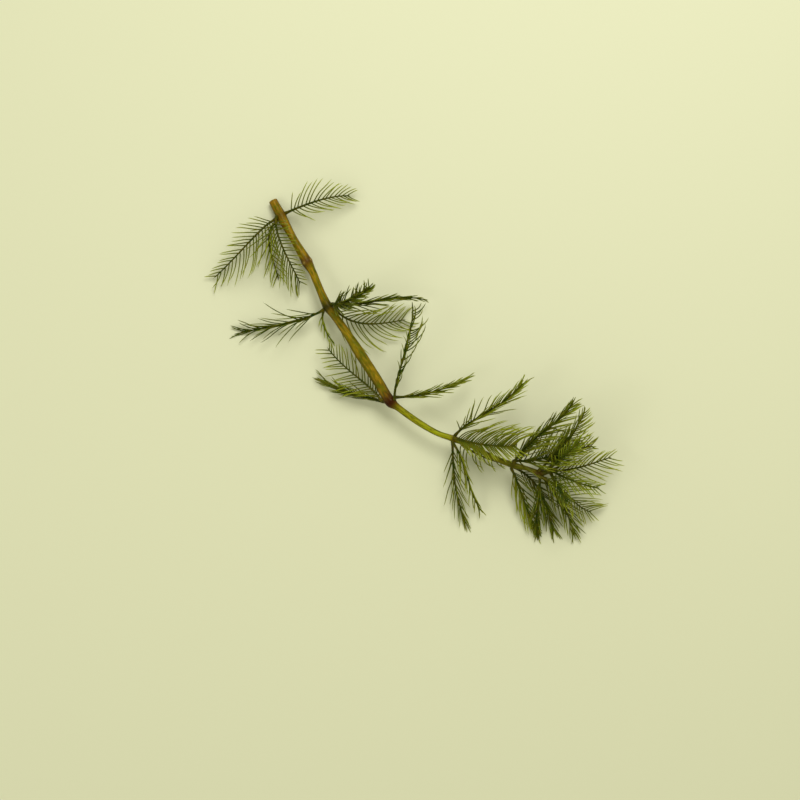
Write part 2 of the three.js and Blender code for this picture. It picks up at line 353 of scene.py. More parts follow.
def showPiece(mesh, name, replaced, material):
    mesh.materials.append(material)
    for face in mesh.polygons:
        face.use_smooth = True
    piece = bpy.data.objects.new(name, mesh)
    bpy.context.scene.collection.objects.link(piece)
    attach(piece, "root")
    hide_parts(replaced)
    return piece


# Stem
stem = {
    "line": (  # column, row, height of the centre, radius in mm
        (273, 201, 1.3, 1.3), (281, 216, 2.3, 1.5), (293, 238, 3.4, 1.15), (307, 262, 4.3, 1.55),
        (313, 273, 4.7, 1.15), (320, 290, 5.2, 1.15), (328, 307, 5.7, 1.4), (335.5, 317, 6.0, 1.2),
        (348, 335, 6.3, 1.3), (359, 352, 6.5, 1.6), (376.5, 379, 6.6, 1.55), (390.5, 401.5, 6.6, 1.6),
        (398.5, 408, 6.6, 1.0), (418, 422, 6.7, 0.97), (437, 433, 6.8, 0.86), (454, 439, 6.9, 0.92),
        (470, 445, 7.0, 0.76), (490, 456, 7.2, 0.78), (513, 465, 7.4, 0.92), (527, 468.5, 7.8, 0.7),
        (540, 473, 8.4, 0.88), (550, 471, 9.6, 0.66), (559, 467, 11.2, 0.33),
    ),
    "nodes": {  # which point of the line each is
        "whorl1": 1, "bare": 3, "whorl2": 6, "whorl3": 11, "whorl4": 15, "whorl5": 18, "whorl6": 20,
        "tip": 21,
    },
    "sides": 48,
    "stepsPerSpan": 12,
    "lengthSteps": 400,
    "nodeSwell": 0.12 * mm,
    "nodeLength": 0.9 * mm,
    "ribs": 7,
    "ribTwist": 9,
    "ribDepth": 0.018,  # like lumpDepth, a share of the radius
    "lumpDepth": 0.03,
    "lumpSize": 1.4 * mm,
    "lumpsRound": 0.8,
    "skinFrom": 0.99,  # what lies further in, as a share of the radius, belongs to the cut face
}
scars = {  # where the bare node lost its leaves: a rim round a dip, with widths as shares of the size
    "count": 4,
    "offset": 0.35,
    "size": 0.55 * mm,
    "rimHeight": 0.13 * mm,
    "rimAway": 0.9,
    "rimWidth": 0.35,
    "dip": 0.6,
    "dipWidth": 0.5,
    "tintWidth": 0.75,
    "reach": 2,
}
cutEnd = {  # a wheel of air channels between the rind and the core, which are shares of the radius
    "rind": 0.84,
    "core": 0.4,
    "channels": 12,
    "channelDepth": 0.7 * mm,
    "flatWithin": 1e-6,
}
stemPoints = [place(*point[:3]) for point in stem["line"]]
stemSpans = len(stemPoints) - 1


def stemPath(t):  # the solid stem's own curve: centripetal, through every point of the line
    along = t * stemSpans
    index = min(stemSpans - 1, int(along))
    part = along - index
    start, end = stemPoints[index], stemPoints[index + 1]
    before = stemPoints[index - 1] if index else 2 * start - end
    after = stemPoints[index + 2] if index + 2 <= stemSpans else 2 * end - start
    first, second, third = [(b - a).length ** 0.5 for a, b in ((before, start), (start, end), (end, after))]
    leave = ((start - before) / first - (end - before) / (first + second) + (end - start) / second) * second
    arrive = ((end - start) / second - (after - start) / (second + third) + (after - end) / third) * second
    return (start + leave * part + (3 * (end - start) - 2 * leave - arrive) * part ** 2
            + (2 * (start - end) + leave + arrive) * part ** 3)


def stemRadius(t):
    along = t * stemSpans
    index = min(stemSpans - 1, int(along))
    return mix(stem["line"][index][3], stem["line"][index + 1][3], smooth(along - index)) * mm


def stemLengths():  # from the cut end to each of many even steps of t
    steps = stem["lengthSteps"]
    lengths = [0.0]
    for step in range(1, steps + 1):
        lengths.append(lengths[-1] + (stemPath(step / steps) - stemPath((step - 1) / steps)).length)
    return lengths


def lengthAt(lengths, t):
    along = t * stem["lengthSteps"]
    index = min(stem["lengthSteps"] - 1, int(along))
    return mix(lengths[index], lengths[index + 1], along - index)


def nodeNearness(centre):  # how near a node is, and how dark that node is
    away, name = min(((centre - stemPoints[index]).length, name) for name, index in stem["nodes"].items())
    darkness, spread, tint = stemPaint["nodes"][name]
    return bell(away, stem["nodeLength"]), darkness * bell(away, spread)


def makeStem():
    bm = straightTube(stem["sides"], stemSpans * stem["stepsPerSpan"], pointed=False)
    skin = bm.verts.layers.float_vector.new("skin")
    along = bm.verts.layers.float.new("along")
    nodeMark = bm.verts.layers.float.new("nodeMark")
    scarMark = bm.verts.layers.float.new("scarMark")
    cutMark = bm.verts.layers.float.new("cutMark")
    carveCutEnd(bm, cutMark)
    barePoint = stemPath(stem["nodes"]["bare"] / stemSpans)
    lengths = stemLengths()
    for vert in bm.verts:
        t = min(1.0, max(0.0, vert.co.z))
        forward, level, upright = frameAt(stemPath, t)
        angle = math.atan2(vert.co.y, vert.co.x)
        out = math.hypot(vert.co.x, vert.co.y)
        onSkin = out > stem["skinFrom"]
        centre = stemPath(t)
        near, nodeDark = nodeNearness(centre)
        radius = stemRadius(t) + stem["nodeSwell"] * near
        ribs = math.cos(stem["ribs"] * angle + stem["ribTwist"] * t) * stem["ribDepth"] * (1 - near)
        around = Vector((vert.co.x, vert.co.y, 0)) * stem["lumpsRound"]
        radius *= 1 + ribs + stem["lumpDepth"] * noise.noise(centre / stem["lumpSize"] + around)
        where = centre + (level * vert.co.x + upright * vert.co.y) * radius
        for scar in range(scars["count"]):
            turned = math.tau * (scar + scars["offset"]) / scars["count"]
            middle = barePoint + (level * math.cos(turned) + upright * math.sin(turned)) * radius
            far = (where - middle).length / scars["size"]
            if onSkin and far < scars["reach"]:
                rise = bell(far - scars["rimAway"], scars["rimWidth"])
                rise -= scars["dip"] * bell(far, scars["dipWidth"])
                where += (level * math.cos(angle) + upright * math.sin(angle)) * scars["rimHeight"] * rise
                vert[scarMark] = max(vert[scarMark], bell(far, scars["tintWidth"]))
        if vert[cutMark] > 1:  # the floor of an air channel
            where += forward * (vert[cutMark] - 1) * cutEnd["channelDepth"]
        vert.co = where
        vert[skin] = Vector((math.cos(angle) * out, math.sin(angle) * out, lengthAt(lengths, t) / mm))
        vert[along] = t
        vert[nodeMark] = nodeDark
    return saved(bm, "stem")


def carveCutEnd(bm, cutMark):  # marks the cut face 1 and the floors of its channels 2
    face = min(bm.faces, key=lambda f: f.calc_center_median().z)
    for outer, inner in ((1.0, cutEnd["rind"]), (cutEnd["rind"], cutEnd["core"])):
        bmesh.ops.inset_individual(bm, faces=[face], thickness=0)
        for vert in face.verts:
            vert.co.x *= inner / outer
            vert.co.y *= inner / outer
            vert[cutMark] = 1.0
    bmesh.ops.poke(bm, faces=[face])
    holes = []
    for f in bm.faces:
        middle = f.calc_center_median()
        isFlat = len(f.verts) == 4 and all(abs(v.co.z) < cutEnd["flatWithin"] for v in f.verts)
        if isFlat and cutEnd["core"] < math.hypot(middle.x, middle.y) < cutEnd["rind"]:
            column = int((math.atan2(middle.y, middle.x) % math.tau) / math.tau * stem["sides"])
            if column % (stem["sides"] // cutEnd["channels"]):  # the others are the spokes
                holes.append(f)
    pits = bmesh.ops.extrude_face_region(bm, geom=holes)["geom"]
    bmesh.ops.delete(bm, geom=holes, context="FACES_ONLY")
    for vert in [g for g in pits if isinstance(g, bmesh.types.BMVert)]:
        vert[cutMark] = 2.0
    bmesh.ops.recalc_face_normals(bm, faces=bm.faces)


# Of a mask, from and full are where it sets in and where it is whole.
stemPaint = {
    "along": (  # between the nodes, from the cut end to the tip, each at its point of the line
        (0, (112, 76, 10)), (3.4, (120, 92, 4)), (5.6, (114, 90, 4)), (8, (112, 96, 4)), (9.8, (98, 82, 6)),
        (11.2, (92, 58, 12)), (11.8, (128, 128, 8)), (14, (136, 142, 8)), (15.4, (118, 118, 8)),
        # from 16.2 to the tip the tones are darker: painted shade of the tuft's leaves lying over this part
        # of the stem, on its own greener colour
        (16.2, (104, 102, 10)), (18.5, (84, 80, 8)), (19.6, (74, 62, 8)), (20.5, (50, 56, 6)),
        (22, (46, 58, 6)),
    ),
    "nodes": {  # how dark a node is, how far that reaches along the stem, and its colour
        "whorl1": (0.6, 1.2 * mm, (58, 34, 6)), "bare": (0.85, 1.5 * mm, (60, 26, 8)),
        "whorl2": (0.95, 1.9 * mm, (34, 32, 2)), "whorl3": (1.0, 2.7 * mm, (48, 12, 3)),
        "whorl4": (0.7, 0.9 * mm, (88, 52, 8)), "whorl5": (0.5, 1.0 * mm, (54, 36, 6)),
        "whorl6": (0.92, 1.2 * mm, (56, 30, 6)), "tip": (0.3, 1.0 * mm, (60, 60, 8)),
    },
    "streaks": {"stretch": (0.75, 0.75, 0.11), "scale": 2.6, "detail": 5.0, "roughness": 0.65},
    "green": {"tone": (72, 78, 2), "from": 0.5, "full": 0.57, "most": 0.9},
    "rust": {"tone": (146, 112, 16), "from": 0.47, "full": 0.4, "old": 0.8, "young": 0.1,
             "fades": (0.5, 0.56)},
    # painted shade: both sides of the stem, where its skin faces sideways, laid over with a darker olive as a
    # light from above leaves them
    "flankShade": {"tone": (58, 56, 4), "from": 0.55, "full": 1.0, "most": 0.6},
    "patch": {"tone": (132, 118, 10), "amount": 0.4, "scale": 420.0},
    "scarTone": (150, 124, 60),
    "dots": {"tone": (62, 38, 8), "scale": 2.4, "from": 0.16, "full": 0.1, "most": 0.7},
    "cutTone": (168, 172, 84),
    # painted shade: the floors of the air channels, dark as the depth of a real channel would leave them
    "channelShade": (52, 54, 14),
    "skin": {"Scale": 1100.0, "Wet": 0.2, "Dry": 0.46},
    "finish": {"gloss": 0.16, "water": 0.04, "glow": 0.15, "glowDepth": 0.5 * mm, "relief": 0.35,
               "reliefDepth": 0.12 * mm},
}


def makeStemMaterial():
    paint = bpy.data.materials.new("wetStem")
    paint.use_nodes = True
    tree = paint.node_tree

    def laidOver(colour, value, facts, most=None):
        most = facts["most"] if most is None else most
        mask = rescale(tree, value, facts["from"], facts["full"], 0.0, most)
        return blendColours(tree, mask, colour, tone(*facts["tone"]))

    stops = [(point / stemSpans, tone(*shade)) for point, shade in stemPaint["along"]]
    colour = colourRamp(tree, ownValue(tree, "along"), stops)
    skin = wire(tree, "ShaderNodeAttribute", attribute_name="skin").outputs["Vector"]
    facts = stemPaint["streaks"]
    stretched = wire(tree, "ShaderNodeMapping", {"Vector": skin, "Scale": facts["stretch"]}).outputs[0]
    streaks = wire(tree, "ShaderNodeTexNoise", {"Vector": stretched, "Scale": facts["scale"],
                                                "Detail": facts["detail"], "Roughness": facts["roughness"]})
    streaks = streaks.outputs["Fac"]
    colour = laidOver(colour, streaks, stemPaint["green"])
    facts = stemPaint["rust"]  # only the old part of the stem has much of it
    rusty = rescale(tree, ownValue(tree, "along"), *facts["fades"], facts["old"], facts["young"])
    colour = laidOver(colour, streaks, facts, rusty)
    # painted shade on the stem's sides: darker olive where the skin faces sideways
    sideways = calculate(tree, "ABSOLUTE", wire(tree, "ShaderNodeSeparateXYZ", {0: skin}).outputs["X"])
    colour = laidOver(colour, sideways, stemPaint["flankShade"])
    facts = stemPaint["patch"]
    colour = useGroup(tree, mottle, {"Base": colour, "Patch": tone(*facts["tone"]), "Amount": facts["amount"],
                                     "Scale": facts["scale"]})["Color"]
    stops = [(index / stemSpans, tone(*stemPaint["nodes"][name][2])) for name, index in stem["nodes"].items()]
    nodeColour = colourRamp(tree, ownValue(tree, "along"), stops)
    colour = blendColours(tree, ownValue(tree, "nodeMark"), colour, nodeColour)
    colour = blendColours(tree, ownValue(tree, "scarMark"), colour, tone(*stemPaint["scarTone"]))
    dots = wire(tree, "ShaderNodeTexVoronoi", {"Vector": skin, "Scale": stemPaint["dots"]["scale"]})
    colour = laidOver(colour, dots.outputs["Distance"], stemPaint["dots"])
    isCut = calculate(tree, "MINIMUM", ownValue(tree, "cutMark"), 1.0)
    isChannel = calculate(tree, "SUBTRACT", ownValue(tree, "cutMark"), 1.0, clamp=True)
    colour = blendColours(tree, isCut, colour, tone(*stemPaint["cutTone"]))
    # painted shade on the floors of the air channels
    colour = blendColours(tree, isChannel, colour, tone(*stemPaint["channelShade"]))
    finishShader(tree, colour, stemPaint["skin"], stemPaint["finish"])
    return paint


# Leaves. Each of them has
#   around: where it leaves its node, as an angle round the stem from the top over the left
#   route: three places on its midrib, a third and two thirds of the way out and at the tip
#   left, right: how each side is lifted out of the flat, its leaflets' angle to the midrib at its base and at
#     its tip, their length in mm, and how far they bend forward
#   pairs: of leaflets
#   dark: from a light olive leaf, 0, to a deep green one, 1
# and some of them, where they aren't as the values in threads say,
#   darkRight: how dark its right side is, where the two sides differ
#   back: how far short of its node it starts, in mm
#   bare: the share of its midrib, from the foot, that bears no leaflets
#   spread: how far its leaflets stray from their side's tilt
#   hug, hugRight: the share of its leaflets that lie wet along the midrib
#   bristle: the share that stand off it instead
#   clump, clumpSize: how far neighbours' ends are drawn together, and how many stick to each other
#   fullness, taper: how long the leaflets at the foot are, and how much shorter those at the tip are
leaves = {
    "whorl1_leaf1": {
        "around": 262, "route": ((259, 232, 5.5), (238, 254, 4.5), (213, 279, 1.5)),
        "left": (12, 58, 42, 13, 24), "right": (12, 50, 40, 8, 10),
        "pairs": 18, "dark": 0.5, "clump": 0.3,
    },
    "whorl1_leaf2": {
        "around": 315, "route": ((279, 238, 6.5), (289.5, 262, 6.4), (300.5, 284, 2.5)),
        "left": (30, 72, 60, 6, 4), "right": (10, 46, 28, 13, 16),
        "pairs": 19, "dark": 0.58, "clump": 0.3,
    },
    "whorl1_leaf3": {
        "around": 205, "route": ((269, 236, 2.2), (272, 257, 1.4), (279, 281, 0.4)),
        "left": (12, 44, 34, 9, 10), "right": (12, 44, 34, 9, 10),
        "pairs": 9, "dark": 0.05,
    },
    "whorl1_leaf4": {
        "around": 80, "route": ((305, 205, 6), (328, 198, 5.5), (351, 196, 2.5)),
        "left": (20, 55, 38, 9, 22), "right": (20, 55, 38, 9, 22),
        "pairs": 15, "dark": 0.4,
    },
    "whorl2_leaf1": {
        "around": 262, "route": ((301, 319.5, 5), (271, 327, 3), (241, 331.5, 0.4)),
        "left": (20, 17, 16, 12.5, -8), "right": (30, 30, 24, 12, -8),
        "pairs": 18, "dark": 0.95, "clump": 0.5, "clumpSize": 3, "hug": 0.56,
    },
    "whorl2_leaf2": {
        "around": 50, "route": ((341, 303, 11), (356, 297, 16), (370, 288, 19.5)),
        "left": (26, 26, 50, 7.5, 10), "right": (26, 46, 18, 7, 24),
        "pairs": 46, "dark": 0.88, "spread": 20, "hug": 0.3, "hugRight": 0, "bristle": 0.06, "fullness": 0.85,
        "bare": 0.09,
    },
    "whorl2_leaf3": {
        "around": 88, "route": ((364, 303, 7.5), (394, 298, 7), (428, 300.5, 3.5)),
        "left": (60, 22, 14, 7.5, 5), "right": (20, 24, 14, 9, 2),
        "pairs": 22, "dark": 0.9, "spread": 20, "hug": 0.3, "taper": 0.85,
    },
    "whorl2_leaf4": {
        "around": 140, "route": ((354, 321.5, 3.6), (380, 323.5, 2.4), (406, 319.5, 0.8)),
        "left": (10, 54, 40, 11.5, 16), "right": (4, 56, 46, 12.5, 40),
        "pairs": 16, "dark": 0.12,
    },
    "whorl2_leaf5": {
        "around": 212, "route": ((322.5, 317, 3.4), (325.5, 330, 2), (335, 344, 0.6)),
        "left": (30, 16, 12, 3.5, 5), "right": (10, 24, 16, 4.5, 12),
        "pairs": 5, "dark": 0.1,
    },
    "whorl3_leaf1": {
        "around": 272, "route": ((368, 386, 5.8), (347, 368.5, 5), (327, 347, 3.6)),
        "left": (4, 50, 44, 9.5, -8), "right": (-18, 52, 40, 9.5, 8),
        "pairs": 19, "dark": 0.45, "back": 2.2,
    },
    "whorl3_leaf2": {
        "around": 232, "route": ((363, 397, 3.4), (344, 391, 2.4), (326, 382.5, 1.2)),
        "left": (50, 14, 20, 7.6, 4), "right": (36, 19, 30, 7.9, 8),
        "pairs": 30, "dark": 0.9, "spread": 22, "hug": 0.55, "taper": 0.35, "back": 1.2,
    },
    "whorl3_leaf3": {
        "around": 50, "route": ((399, 373, 11.5), (408, 341, 13), (413, 309, 9.5)),
        "left": (62, 18, 14, 7, 4), "right": (25, 24, 84, 10.5, 72),
        "pairs": 32, "dark": 1.1, "darkRight": 0.85, "spread": 14, "hug": 0.5, "hugRight": 0.3,
        "fullness": 0.05, "taper": 0.6,
    },
    "whorl3_leaf4": {
        "around": 100, "route": ((422, 394.5, 8.5), (445, 388, 9), (466, 379, 7)),
        "left": (50, 26, 26, 7.5, 6), "right": (55, 22, 26, 7.5, 4),
        "pairs": 23, "dark": 0.68, "spread": 18, "hug": 0.4, "taper": 0.45,
    },
    "whorl4_leaf1": {
        "around": 70, "route": ((476, 419, 12.5), (501, 403.5, 14), (523, 383, 12.5)),
        "left": (36, 44, 26, 9, 4), "right": (28, 16, 14, 11, 2),
        "pairs": 28, "dark": 0.65, "spread": 14, "hug": 0.25, "hugRight": 0.5,
    },
    "whorl4_leaf2": {
        "around": 245, "route": ((453.5, 469, 4.2), (457.5, 497, 2.5), (466, 524, 0.3)),
        "left": (20, 24, 16, 9.5, 4), "right": (16, 28, 20, 10, 2),
        "pairs": 15, "dark": 0.75, "spread": 10, "hug": 0.3,
    },
    "whorl4_leaf3": {
        "around": 12, "route": ((477, 443.5, 11.5), (497, 446, 14), (516, 446, 15)),
        "left": (10, 56, 48, 13, 38), "right": (14, 46, 40, 7.5, 6),
        "pairs": 33, "dark": 0.42, "taper": 0.35,
    },
    "whorl4_leaf4": {
        "around": 300, "route": ((463, 463, 7.4), (470.5, 487, 5), (481.5, 512, 2)),
        "left": (55, 14, 12, 7, 4), "right": (14, 26, 18, 8.5, 4),
        "pairs": 14, "dark": 0.6, "spread": 10, "hug": 0.4,
    },
    "whorl4_leaf5": {
        "around": 170, "route": ((470, 450, 3.4), (486, 458, 2.2), (504, 464, 1.2)),
        "left": (5, 34, 30, 5, 10), "right": (-8, 78, 60, 7.5, 64),
        "pairs": 11, "dark": 0.05, "clump": 0.9, "clumpSize": 3, "taper": 0.7,
    },
    "whorl5_leaf1": {
        "around": 30, "route": ((531, 442, 13), (552, 425, 16), (573, 404, 15)),
        "left": (40, 26, 22, 9, 6), "right": (22, 30, 14, 12, -6),
        "pairs": 38, "dark": 0.9, "darkRight": 0.6, "spread": 20, "hug": 0.4, "hugRight": 0.1,
        "bristle": 0.12, "fullness": 1, "taper": 0.7,
    },
    "whorl5_leaf2": {
        "around": 255, "route": ((519, 487, 4.5), (527, 509, 2.5), (537, 531, 0.3)),
        "left": (20, 38, 22, 9, 10), "right": (10, 34, 16, 11, 24),
        "pairs": 24, "dark": 0.9, "darkRight": 0.15, "hug": 0.4, "hugRight": 0,
    },
    "whorl5_leaf3": {
        "around": 200, "route": ((536, 485, 3), (547, 508, 1.8), (554, 532, 0.3)),
        "left": (15, 38, 24, 10, 12), "right": (15, 34, 20, 10, 12),
        "pairs": 22, "dark": 0.8, "hug": 0.25,
    },
    "whorl5_leaf4": {
        "around": 85, "route": ((540, 459, 9.8), (565, 452, 10.8), (593, 446, 8.8)),
        "left": (16, 50, 36, 13, -4), "right": (12, 38, 36, 9, 20),
        "pairs": 36, "dark": 0.65, "hug": 0.1, "hugRight": 0.3, "fullness": 1, "taper": 0.75,
    },
    "whorl6_leaf1": {
        "around": 50, "route": ((557, 453, 14.5), (572, 435, 18), (585, 411, 18.5)),
        "left": (26, 20, 16, 12, 2), "right": (18, 52, 36, 12, 24),
        "pairs": 26, "dark": 0.85, "darkRight": 0.35, "hug": 0.4, "hugRight": 0, "fullness": 0.9,
        "taper": 0.85,
    },
    "whorl6_leaf2": {
        "around": 125, "route": ((566, 470, 7), (589, 464.5, 8), (612, 457, 6)),
        "left": (18, 46, 30, 9, 18), "right": (12, 50, 36, 12, 12),
        "pairs": 15, "dark": 0.14,
    },
    "whorl6_leaf3": {
        "around": 310, "route": ((562, 490, 9), (577, 504, 6), (592, 512, 3)),
        "left": (10, 50, 42, 11, 16), "right": (10, 42, 30, 8, 10),
        "pairs": 15, "dark": 0.22, "taper": 0.45,
    },
    "whorl6_leaf4": {
        "around": 258, "route": ((539, 495, 6.5), (537, 514, 4), (537, 534, 1.2)),
        "left": (38, 26, 16, 8, 8), "right": (38, 28, 18, 8, 8),
        "pairs": 22, "dark": 0.95, "hug": 0.4,
    },
    "whorl6_leaf5": {
        "around": 200, "route": ((556, 495, 5), (567, 514, 3.2), (574, 534, 1.2)),
        "left": (20, 34, 22, 10, 14), "right": (20, 34, 22, 9.5, 10),
        "pairs": 22, "dark": 0.8, "hug": 0.3,
    },
    "tip_leaf1": {
        "around": 35, "route": ((562, 458, 16), (572, 449, 19), (581, 440, 20.5)),
        "left": (20, 44, 30, 6, 10), "right": (20, 44, 30, 6, 10),
        "pairs": 13, "dark": 0.6,
    },
    "tip_leaf2": {
        "around": 180, "route": ((564, 477, 12), (582, 484, 13.5), (600, 488, 12.5)),
        "left": (20, 44, 30, 7, 10), "right": (20, 44, 30, 7, 10),
        "pairs": 11, "dark": 0.5,
    },
    "tip_leaf3": {
        "around": 265, "route": ((555, 482, 12.5), (561, 492, 14), (567, 502, 14)),
        "left": (20, 40, 30, 6, 10), "right": (20, 40, 30, 6, 10),
        "pairs": 13, "dark": 0.95,
    },
    "tip_leaf4": {
        "around": 90, "route": ((556, 460, 11.5), (561, 449, 12.5), (566, 438, 12.5)),
        "left": (20, 38, 26, 6, 8), "right": (20, 38, 26, 6, 8),
        "pairs": 13, "dark": 0.95,
    },
}
youngLeaves = ("whorl2_leaf5", "tip_leaf1", "tip_leaf2", "tip_leaf3", "tip_leaf4")
midrib = {
    "base": 0.38 * mm,
    "tip": 0.18 * mm,
    "sides": 10,
    "steps": 30,
    "samples": 50,
    "point": 0.06,  # the share of it that narrows to the point, and by how much
    "pointNarrowing": 0.6,
    "nodeGap": 0.45 * mm,  # the solids' air between stem and midrib, closed here
    "footShare": 0.12,
    "footInside": 0.25,  # where the foot starts, as a share of the stem's radius
    "footPull": 0.9,
    "footHeads": 0.02,  # for the place on the midrib that gives its direction at the foot
    "footWidening": 1.5,  # where it meets the midrib
    "footLength": 1 * mm,
}
threads = {
    "base": 0.19 * mm,
    "tip": 0.13 * mm,
    "sides": 6,
    "steps": 8,
    "point": 0.2,
    "pointNarrowing": 0.75,
    "seedsPerLeaf": 100,
    "firstPlace": 1.6,  # along the midrib, counted in pairs
    "rightLater": 0.3,
    "placeStray": 0.15,
    "lastRoom": 1.7,
    "spread": 8,  # in degrees, as the next two
    "openingStray": 5,
    "bendStray": 11,
    "lengthStray": 0.14,
    "leastBend": 0.01,
    "sway": 0.08,
    "swayTurn": 2.6,
    "wave": 0.035,
    "waveTurn": 5,
    "waveTurnStray": 2,
    "fullness": 0.55,
    "fillsOutBy": 2,
    "taper": 0.62,
    "hugOpening": 0.4,
    "hugLength": 0.9,
    "bristleFrom": 0.3,
    "bristleOpening": 2.2,
    "bristleWidest": 1.5,
    "bristleLength": 0.8,
    "clump": 0.08,
    "clumpSize": 2,
    "clumpNarrowest": 0.3,
    "clumpMost": 0.3,
    "clumpFromFoot": 0.5,
    "gap": 0.06 * mm,
    "searchReach": 2.2 * mm,
    "sampleStep": 0.5 * mm,
    "fewestSamples": 3,
    "darkStray": 0.16,
    "darkest": 1.1,
    "colourStart": 0.04,  # how far from the midrib's colour a leaflet begins
    "turns": (0, 6, -6, 12, -12, 20, -20, 30, -30, 42, -42, 55, -55),  # tried in turn until its way is clear
}


def throughFour(points, t):
    a, b, c, d = points
    return (a * ((1 - 3 * t) * (2 - 3 * t) * (1 - t) / 2) + b * (9 * t * (2 - 3 * t) * (1 - t) / 2)
            + c * (9 * t * (3 * t - 1) * (1 - t) / 2) + d * (t * (3 * t - 1) * (3 * t - 2) / 2))


def makeRib(name, facts):  # the solid's midrib, and the place inside the stem that its foot grows from
    index = stem["nodes"][name.split("_")[0]]
    forward, level, upright = frameAt(stemPath, index / stemSpans)
    around = math.radians(facts["around"])
    outward = upright * math.cos(around) + level * math.sin(around)
    radius = stem["line"][index][3] * mm
    centre = stemPoints[index] - forward * facts.get("back", 0) * mm
    points = [centre + outward * (radius + midrib["nodeGap"]), *(place(*point) for point in facts["route"])]

    def path(t):
        return throughFour(points, t)

    samples = midrib["samples"]
    return {
        "points": points,
        "foot": centre + outward * radius * midrib["footInside"],
        "path": path,
        "taken": [(path(step / samples), midrib["base"]) for step in range(samples + 1)],
    }


def leafletShare(t, facts):
    fullness, taper = facts.get("fullness", threads["fullness"]), facts.get("taper", threads["taper"])
    return min(1, fullness + threads["fillsOutBy"] * t) * (1 - taper * t * t)


def drawTogether(facts, pair, opening, reach, step):
    size = facts.get("clumpSize", threads["clumpSize"])
    offset = pair % size - (size - 1) / 2
    width = reach * max(threads["clumpNarrowest"], math.sin(opening))
    turn = offset * step / width * facts.get("clump", threads["clump"])
    return max(-threads["clumpMost"], min(threads["clumpMost"], turn))


def leafletArc(rib, t, hand, facts, pair, seed, turn):
    tilt, openBase, openTip, length, curl = facts["left" if hand > 0 else "right"]
    forward, level, upright = frameAt(rib, t)
    lift = math.radians(tilt + turn + facts.get("spread", threads["spread"]) * vary(seed, draws["tilt"]))
    sideways = level * (hand * math.cos(lift)) + upright * math.sin(lift)
    flat = forward.cross(sideways).normalized()
    opening = math.radians(mix(openBase, openTip, t) + threads["openingStray"] * vary(seed, draws["opening"]))
    reach = length * mm * leafletShare(t, facts) * (1 + threads["lengthStray"] * vary(seed, draws["length"]))
    step = (rib(1) - rib(0)).length / facts["pairs"]
    stuck = drawTogether(facts, pair, opening, reach, step)
    hug = facts.get("hug", 0)
    if hand < 0:
        hug = facts.get("hugRight", hug)
    if vary(seed, draws["hug"]) < 2 * hug - 1:
        opening *= threads["hugOpening"]
        reach *= threads["hugLength"]
    elif t > threads["bristleFrom"] and vary(seed, draws["bristle"]) > 1 - 2 * facts.get("bristle", 0):
        opening = min(threads["bristleWidest"], opening * threads["bristleOpening"])
        reach *= threads["bristleLength"]
    opening += threads["clumpFromFoot"] * stuck
    bend = math.radians(curl + threads["bendStray"] * vary(seed, draws["bend"])) - stuck
    bend = bend or threads["leastBend"]
    start = rib(t)
    sway = reach * threads["sway"] * vary(seed, draws["sway"])
    wave = reach * threads["wave"] * vary(seed, draws["wave"])
    beat = threads["waveTurn"] + threads["waveTurnStray"] * vary(seed, draws["beat"])

    def path(v):  # a thread that comes down to the floor lies along it
        ahead = reach * (math.sin(opening) - math.sin(opening - bend * v)) / bend
        aside = reach * (math.cos(opening - bend * v) - math.cos(opening)) / bend
        aside += wave * math.sin(beat * v) * v
        over = sway * math.sin(threads["swayTurn"] * v) * v
        point = start + forward * ahead + sideways * aside + flat * over
        point.z = max(point.z, threads["base"])
        return point

    def frames(v):
        heading = forward * math.cos(opening - bend * v) + sideways * math.sin(opening - bend * v)
        return flat, heading.cross(flat)

    return path, frames, reach


def leafletRadius(v):
    narrowing = threads["pointNarrowing"] * smooth((v - (1 - threads["point"])) / threads["point"])
    return mix(threads["base"], threads["tip"], v) * (1 - narrowing)


def pointsOn(path, reach):
    steps = max(threads["fewestSamples"], math.ceil(reach / threads["sampleStep"]))
    return (path(step / steps) for step in range(1, steps + 1))


def isClear(path, reach, tree, radii):  # of the stem and other threads, and no higher than the solids
    for point in pointsOn(path, reach):
        if point.z > cadTop:
            return False
        for other, index, distance in tree.find_range(point, threads["searchReach"]):
            if distance < radii[index] + threads["base"] + threads["gap"]:
                return False
    return True


def crowd(entries):
    tree = kdtree.KDTree(len(entries))
    for index, (point, radius) in enumerate(entries):
        tree.insert(point, index)
    tree.balance()
    return tree, [radius for point, radius in entries]


threadMesh = saved(straightTube(threads["sides"], threads["steps"], pointed=True), "thread")


def makeMidrib(rib, dark):
    points, path = rib["points"], rib["path"]
    footShare = midrib["footShare"]
    heading = (path(midrib["footHeads"]) - path(0.0)).normalized()
    run = (points[3] - points[0]).length

    def whole(t):  # the foot first, then the midrib
        if t >= footShare:
            return path((t - footShare) / (1 - footShare))
        part = t / footShare
        start, end = rib["foot"], points[0]
        pull = (end - start).length
        leave = (end - start).normalized() * pull * midrib["footPull"]
        arrive = heading * pull * midrib["footPull"]
        return (start * (2 * part ** 3 - 3 * part ** 2 + 1) + leave * (part ** 3 - 2 * part ** 2 + part)
                + end * (3 * part ** 2 - 2 * part ** 3) + arrive * (part ** 3 - part ** 2))

    def radius(t):
        out = (t - footShare) / (1 - footShare)
        widening = 1 + (midrib["footWidening"] - 1) * math.exp(-max(0.0, out * run) / midrib["footLength"])
        narrowing = midrib["pointNarrowing"] * smooth((out - (1 - midrib["point"])) / midrib["point"])
        return mix(midrib["base"], midrib["tip"], max(0.0, out)) * widening * (1 - narrowing)

    bm = straightTube(midrib["sides"], midrib["steps"], pointed=True)
    fromStem = bm.verts.layers.float.new("fromStem")
    bm.verts.layers.float.new("fromMidrib")
    darkness = bm.verts.layers.float.new("dark")
    for vert in bm.verts:
        vert[fromStem] = max(0.0, (vert.co.z - footShare) / (1 - footShare))
        vert[darkness] = dark
    bendOnto(bm.verts, whole, lambda t: frameAt(whole, t)[1:], radius)
    return bm


